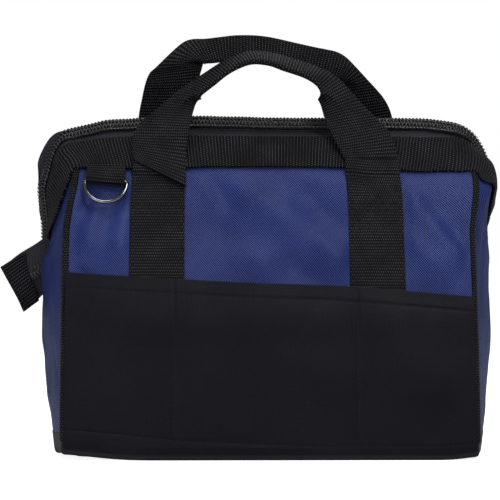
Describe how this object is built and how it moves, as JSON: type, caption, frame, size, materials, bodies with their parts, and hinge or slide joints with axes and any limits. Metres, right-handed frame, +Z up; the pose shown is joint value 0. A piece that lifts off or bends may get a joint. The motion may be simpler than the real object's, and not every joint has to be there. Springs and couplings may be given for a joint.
{
  "type": "zippered tool bag",
  "caption": "Wide-mouth fabric tool bag with a coil zip over the top, two webbing handles, open pockets, webbing straps and a D-ring",
  "frame": {"origin": "middle of the base, on the plane that the bag rests on", "axes": "+X to the right along the bag, +Y to the rear, +Z up; the front faces -Y"},
  "size_m": [0.3572, 0.1858, 0.3005],
  "materials": {
    "blue_fabric": "woven polyester",
    "black_fabric": "woven polyester",
    "webbing": "ribbed polypropylene webbing",
    "zip_coil": "nylon coil",
    "rod_steel": "drawn wire",
    "ring_steel": "polished plating",
    "slider_metal": "dark enamel",
    "board": "plain sheet"
  },
  "bodies": {
    "bag_body": {"front_panel": "blue_fabric", "front_pocket": "black_fabric", "front_left_gather": "blue_fabric", "front_left_binding": "webbing", "front_left_strap": "webbing", "front_right_gather": "blue_fabric", "front_right_binding": "webbing", "front_right_strap": "webbing", "rear_panel": "blue_fabric", "rear_pocket": "black_fabric", "rear_left_gather": "blue_fabric", "rear_left_binding": "webbing", "rear_left_strap": "webbing", "rear_right_gather": "blue_fabric", "rear_right_binding": "webbing", "rear_right_strap": "webbing", "base_panel": "black_fabric", "base_board": "board", "left_end": "blue_fabric", "right_end": "blue_fabric", "right_tail_tape": "black_fabric", "right_tail_front_teeth": "zip_coil", "right_tail_rear_teeth": "zip_coil"},
    "front_mouth": {"front_band": "webbing", "front_zip_tape": "black_fabric", "front_zip_teeth": "zip_coil", "front_mouth_rod": "rod_steel", "ring_tab": "webbing"},
    "rear_mouth": {"rear_band": "webbing", "rear_zip_tape": "black_fabric", "rear_zip_teeth": "zip_coil", "rear_mouth_rod": "rod_steel"},
    "front_handle": {"front_handle": "webbing"},
    "rear_handle": {"rear_handle": "webbing"},
    "d_ring": {"d_ring": "ring_steel"},
    "zip_slider": {"zip_slider": "slider_metal"},
    "pull_tab": {"pull_tab": "slider_metal"},
    "left_tail": {"left_tail_tape": "black_fabric", "left_tail_tab": "webbing", "left_tail_teeth": "zip_coil"}
  },
  "joints": [
    {"name": "front_mouth_hinge", "type": "hinge", "parent": "bag_body", "child": "front_mouth", "pos_m": [0, 0, 0.15], "axis": [1, 0, 0], "range_deg": [0, 60], "deforming": ["front_panel", "front_left_gather", "front_left_binding", "front_left_strap", "front_right_gather", "front_right_binding", "front_right_strap"]},
    {"name": "rear_mouth_hinge", "type": "hinge", "parent": "bag_body", "child": "rear_mouth", "pos_m": [0, 0, 0.15], "axis": [-1, 0, 0], "range_deg": [0, 60], "deforming": ["rear_panel", "rear_left_gather", "rear_left_binding", "rear_left_strap", "rear_right_gather", "rear_right_binding", "rear_right_strap"]},
    {"name": "front_handle_hinge", "type": "hinge", "parent": "front_mouth", "child": "front_handle", "pos_m": [0, -0.02789, 0.21019], "axis": [1, 0, 0], "range_deg": [0, 105]},
    {"name": "rear_handle_hinge", "type": "hinge", "parent": "rear_mouth", "child": "rear_handle", "pos_m": [0, 0.02789, 0.21019], "axis": [-1, 0, 0], "range_deg": [0, 105]},
    {"name": "d_ring_hinge", "type": "hinge", "parent": "front_mouth", "child": "d_ring", "pos_m": [-0.116, -0.03616, 0.19361], "axis": [-1, 0, 0], "range_deg": [0, 150]},
    {"name": "slider_slide", "type": "slide", "parent": "bag_body", "child": "zip_slider", "axis": [-0.0176, 0.2716, -0.9622], "range_m": [0, 0.018]},
    {"name": "pull_tab_hinge", "type": "hinge", "parent": "zip_slider", "child": "pull_tab", "pos_m": [0.16011, 0.04182, 0.12763], "axis": [0.3522, -0.899, -0.2602], "range_deg": [0, 150]},
    {"name": "left_tail_hinge", "type": "hinge", "parent": "bag_body", "child": "left_tail", "pos_m": [-0.1616, 0, 0.131], "axis": [0, 0, 1], "range_deg": [-35, 35], "stiffness_Nm_per_rad": 0.02}
  ]
}
